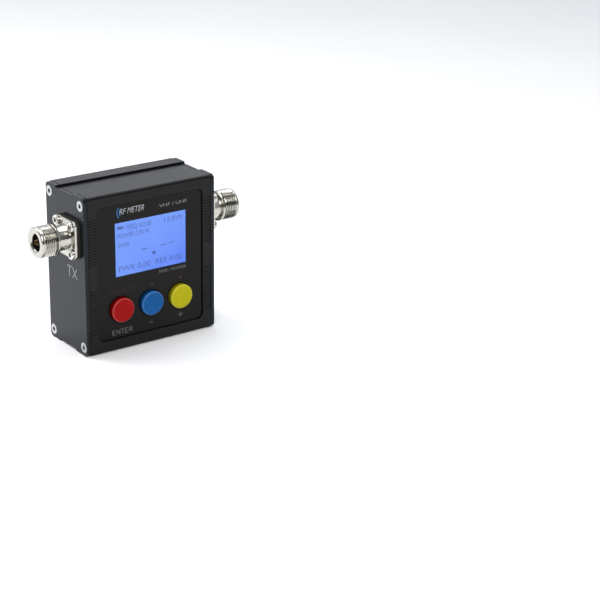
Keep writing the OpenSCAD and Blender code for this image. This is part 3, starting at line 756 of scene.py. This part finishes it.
def make_display():
    dress("lcd_glass", DISPLAY)
    low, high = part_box("display_window")
    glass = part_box("lcd_glass")[0].y
    face = face_matrix(Vector((low.x, glass, low.z)), (1, 0, 0), UP)
    width, top = (high.x - low.x) / MM, (high.z - low.z) / MM
    # X and Y of each middle from the window's lower left corner, then width and height
    bars = ((3.2, top - 2.9, 3.4, 1.5), (5.2, top - 2.9, 0.5, 0.8))
    words = (
        ("FREQ 435.00", 14.0, top - 3.6, 14.5, 2.6), ("12.0W", width - 7.0, top - 3.4, 11, 2.6),
        ("POWER 0.00 W", 11.0, top - 7.2, 18.5, 2.5), ("SWR", 5.2, top - 12.2, 6.5, 2.2),
        ("PWR 0.00  REF 0.00", width / 2, 3.6, width - 4, 2.9),
    )
    dashes = (
        (17, 11.6, 3.4, 0.6), (22.6, 8.6, 1.9, 1.6), (28.2, 11.8, 3.6, 0.5), (33.2, 12.1, 3.6, 0.5),
    )
    marks = bmesh.new()
    for place in bars:
        bar(marks, *place, face)
    for text, x, y, wide, tall in words:
        text_shape(marks, text, x, y, tall, face, width=wide)
    for place in dashes:
        bar(marks, *place, face)
    ink_piece("lcd_segments", marks, SEGMENTS, "lcd")
    dress("display_window", WINDOW)


# ---- The pieces that stay as the frame has them ----

STAYING = {
    "left_plate_screws": STEEL_SCREW, "right_plate_screws": STEEL_SCREW,
    "lcd_backlight": WHITE_PLASTIC, "lcd_frame": BLACK_PLASTIC, "display_pins": BRASS,
    "main_board": BOARD, "board_standoffs": BRASS, "board_screws": STEEL_SCREW,
    "processor": BLACK_PLASTIC, "board_chips": BLACK_PLASTIC, "crystal": SHEET_STEEL,
    "enter_switch_body": BLACK_PLASTIC, "minus_switch_body": BLACK_PLASTIC,
    "plus_switch_body": BLACK_PLASTIC, "enter_plunger": WHITE_PLASTIC,
    "minus_plunger": WHITE_PLASTIC, "plus_plunger": WHITE_PLASTIC,
    "enter_button": RED, "minus_button": BLUE, "plus_button": YELLOW,
    "power_switch_body": SHEET_STEEL, "power_switch_knob": BLACK_PLASTIC,
    "usb_shell": SHEET_STEEL, "usb_tongue": BLACK_PLASTIC,
    "battery_cell": FOIL, "battery_pad": BLACK_PLASTIC, "battery_socket": WHITE_PLASTIC,
    "battery_leads": LEAD, "coupler_board": BOARD, "coupler_shield": SHEET_STEEL,
    "coupler_header": BLACK_PLASTIC,
}

# ---- Camera, lights and floor ----

# Which way the camera looks, in degrees, and where it stands from the foot of the case, in
# metres along its own right, up and back
VIEW_AZIMUTH, VIEW_ELEVATION, VIEW_ROLL = -36.67, 21.24, 1.03
EYE_RIGHT, EYE_UP, EYE_BACK = 0.08659, 0.01570, 0.90055
LENS = 103.98
# Name, place, point lit, size in metres and power in watts
LAMPS = (
    ("key", (-0.45, 0.55, 0.75), (0, 0, 0.03), (0.5, 0.5), 5.5),
    ("top", (0.15, 0.1, 1.0), (0, 0, 0), (0.7, 0.7), 4),
    ("front_fill", (-0.35, -0.7, 0.7), (0, -0.03, 0), (0.7, 0.5), 7),
)
# The studio's strength beyond the case and on the photographer's side, and the cosines of the
# angle from the photographer's direction between which it changes
STUDIO_FAR, STUDIO_NEAR = 1.05, 0.07
STUDIO_CHANGE = (-0.5, 0.6)
STUDIO_TINT = (0.93, 0.955, 1.03, 1)
# Half the floor's width, in metres, and how far it lies below the foot of the case
FLOOR_HALF, FLOOR_SINK = 3.0, 0.05


def make_camera():
    """Adds the camera and gives the direction from the case towards it."""
    azimuth, elevation = math.radians(VIEW_AZIMUTH), math.radians(VIEW_ELEVATION)
    roll = math.radians(VIEW_ROLL)
    level = math.cos(elevation)
    back = Vector((math.sin(azimuth) * level, -math.cos(azimuth) * level, math.sin(elevation)))
    flat_right = UP.cross(back).normalized()
    flat_up = back.cross(flat_right)
    right = math.cos(roll) * flat_right + math.sin(roll) * flat_up
    up = math.cos(roll) * flat_up - math.sin(roll) * flat_right
    data = bpy.data.cameras.new("camera")
    data.lens = LENS
    data.clip_start = 0.01
    data.clip_end = 50
    camera = bpy.data.objects.new("camera", data)
    eye = CASE_FOOT + EYE_RIGHT * right + EYE_UP * up + EYE_BACK * back
    camera.matrix_world = axes_matrix(eye, right, up, back)
    SCENE.collection.objects.link(camera)
    SCENE.camera = camera
    return back


def add_light(name, place, target, size, power):
    data = bpy.data.lights.new(name, "AREA")
    data.shape = "RECTANGLE"
    data.size, data.size_y = size
    data.energy = power
    light = bpy.data.objects.new(name, data)
    light.location = place
    light.rotation_euler = (Vector(target) - Vector(place)).to_track_quat("-Z", "Y").to_euler()
    SCENE.collection.objects.link(light)


def make_world(towards_camera):
    """A bright studio that is darker on the photographer's side."""
    world = bpy.data.worlds.new("studio")
    world.use_nodes = True
    nodes, links = world.node_tree.nodes, world.node_tree.links
    background = nodes["Background"]
    place = nodes.new("ShaderNodeTexCoord")
    facing = nodes.new("ShaderNodeVectorMath")
    facing.operation = "DOT_PRODUCT"
    links.new(place.outputs["Generated"], facing.inputs[0])
    level = Vector((towards_camera.x, towards_camera.y, 0))
    facing.inputs[1].default_value = level.normalized()
    ramp = nodes.new("ShaderNodeMapRange")
    ramp.inputs["From Min"].default_value = STUDIO_CHANGE[0]
    ramp.inputs["From Max"].default_value = STUDIO_CHANGE[1]
    ramp.inputs["To Min"].default_value = STUDIO_FAR
    ramp.inputs["To Max"].default_value = STUDIO_NEAR
    links.new(facing.outputs["Value"], ramp.inputs["Value"])
    links.new(ramp.outputs["Result"], background.inputs["Strength"])
    background.inputs["Color"].default_value = STUDIO_TINT
    SCENE.world = world


def make_floor():
    """A plain pale floor, faintly uneven in tone."""
    half = FLOOR_HALF
    shape = bmesh.new()
    corners = [(-half, -half), (half, -half), (half, half), (-half, half)]
    shape.faces.new([shape.verts.new((x, y, -FLOOR_SINK * MM)) for x, y in corners])
    mesh = bpy.data.meshes.new("floor")
    shape.to_mesh(mesh)
    shape.free()
    paint = Paint("pale_floor", Specular_IOR_Level=0.1)
    tone = paint.noise((120, 120, 120))
    base = paint.mixed(tone, (0.86, 0.86, 0.86, 1), (0.90, 0.90, 0.895, 1))
    mesh.materials.append(paint.finish(Base_Color=base, Roughness=0.6))
    floor = bpy.data.objects.new("floor", mesh)
    SCENE.collection.objects.link(floor)


def make_studio():
    towards_camera = make_camera()
    make_world(towards_camera)
    make_floor()
    for lamp in LAMPS:
        add_light(*lamp)
    SCENE.view_settings.view_transform = "Standard"


make_studio()
make_case()
make_sockets()
make_prints()
make_display()
for node, material in STAYING.items():
    dress(node, material)
